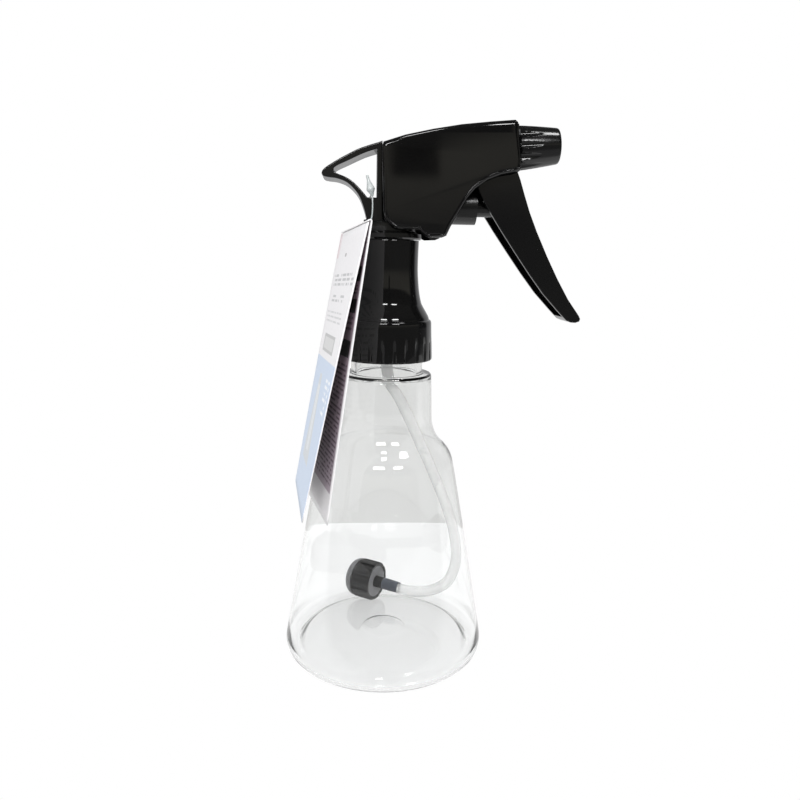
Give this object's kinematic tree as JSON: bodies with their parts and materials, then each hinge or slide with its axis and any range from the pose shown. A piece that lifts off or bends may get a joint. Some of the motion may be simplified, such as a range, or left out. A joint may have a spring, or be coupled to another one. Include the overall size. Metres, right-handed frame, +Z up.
{
  "type": "hand mister",
  "caption": "Clear conical bottle with a trigger spray head on a long screw cap, a weighted pick-up hose inside and a folded hang tag on a clear fastener.",
  "frame": {"origin": "middle of the object's length and width at the height of the bottle's foot", "axes": "+Z up along the bottle, +X the way the nozzle and trigger point, +Y to the sprayer's left"},
  "size_m": [0.1092, 0.0774, 0.1977],
  "materials": {
    "clear_pet": "clear blown PET, gloss",
    "black_plastic": "gloss",
    "white_acetal": "satin",
    "milky_tube": "translucent, satin",
    "seal_rubber": "matte",
    "steel": "satin",
    "clear_fastener": "clear moulded nylon, gloss",
    "printed_card": "printed, coated"
  },
  "bodies": {
    "mister": {"bottle": "clear_pet", "neck_gasket": "seal_rubber", "cap_retainer": "black_plastic", "valve_body": "black_plastic", "hose_adapter": "white_acetal", "return_spring": "steel", "trigger_pin": "steel", "shroud": "black_plastic", "hang_loop": "black_plastic", "nozzle_insert": "black_plastic", "nozzle_seal": "seal_rubber", "dip_hose": "milky_tube", "sinker_stem": "black_plastic", "sinker_sleeve": "black_plastic", "sinker_weight": "steel", "sinker_screen": "black_plastic"},
    "cap": {"screw_cap": "black_plastic"},
    "trigger_lever": {"trigger": "black_plastic"},
    "plunger": {"piston": "black_plastic", "piston_seal": "seal_rubber"},
    "nozzle": {"nozzle_cap": "black_plastic"},
    "ball": {"inlet_ball": "steel"},
    "flap": {"outlet_valve": "seal_rubber"},
    "tag": {"tag_pin": "clear_fastener", "tag_back_leaf": "printed_card"},
    "tag_cover": {"tag_front_leaf": "printed_card"}
  },
  "joints": [
    {"name": "trigger_pull", "type": "hinge", "parent": "mister", "child": "trigger_lever", "pos_m": [0.0237, 0, 0.1843], "axis": [0, 1, 0], "range_deg": [0, 22], "stiffness_Nm_per_rad": 0.25, "springref_deg": -17.19},
    {"name": "piston_stroke", "type": "slide", "parent": "mister", "child": "plunger", "axis": [-1, 0, 0], "range_m": [0, 0.0062], "deforming": ["return_spring"]},
    {"name": "nozzle_turn", "type": "hinge", "parent": "mister", "child": "nozzle", "pos_m": [0.0309, 0, 0.1903], "axis": [0.9972, 0, 0.075], "range_deg": [0, 270]},
    {"name": "cap_turn", "type": "hinge", "parent": "mister", "child": "cap", "pos_m": [-0.0159, 0, 0.13], "axis": [0, 0, 1], "continuous": true},
    {"name": "inlet_ball_lift", "type": "slide", "parent": "mister", "child": "ball", "axis": [0, 0, 1], "range_m": [0, 0.001]},
    {"name": "outlet_valve_lift", "type": "slide", "parent": "mister", "child": "flap", "axis": [0.9972, 0, 0.075], "range_m": [0, 0.0008]},
    {"name": "tag_swing", "type": "hinge", "parent": "mister", "child": "tag", "pos_m": [-0.0228, 0, 0.1722], "axis": [0, 1, 0], "range_deg": [0, 25]},
    {"name": "tag_open", "type": "hinge", "parent": "tag", "child": "tag_cover", "pos_m": [-0.02906, -0.00268, 0.1611], "axis": [-0.1993, 0.9794, -0.0314], "range_deg": [0, 40]}
  ],
  "couplings": [
    {"joint": "piston_stroke", "follows": "trigger_pull", "m_per_rad": 0.0157}
  ]
}
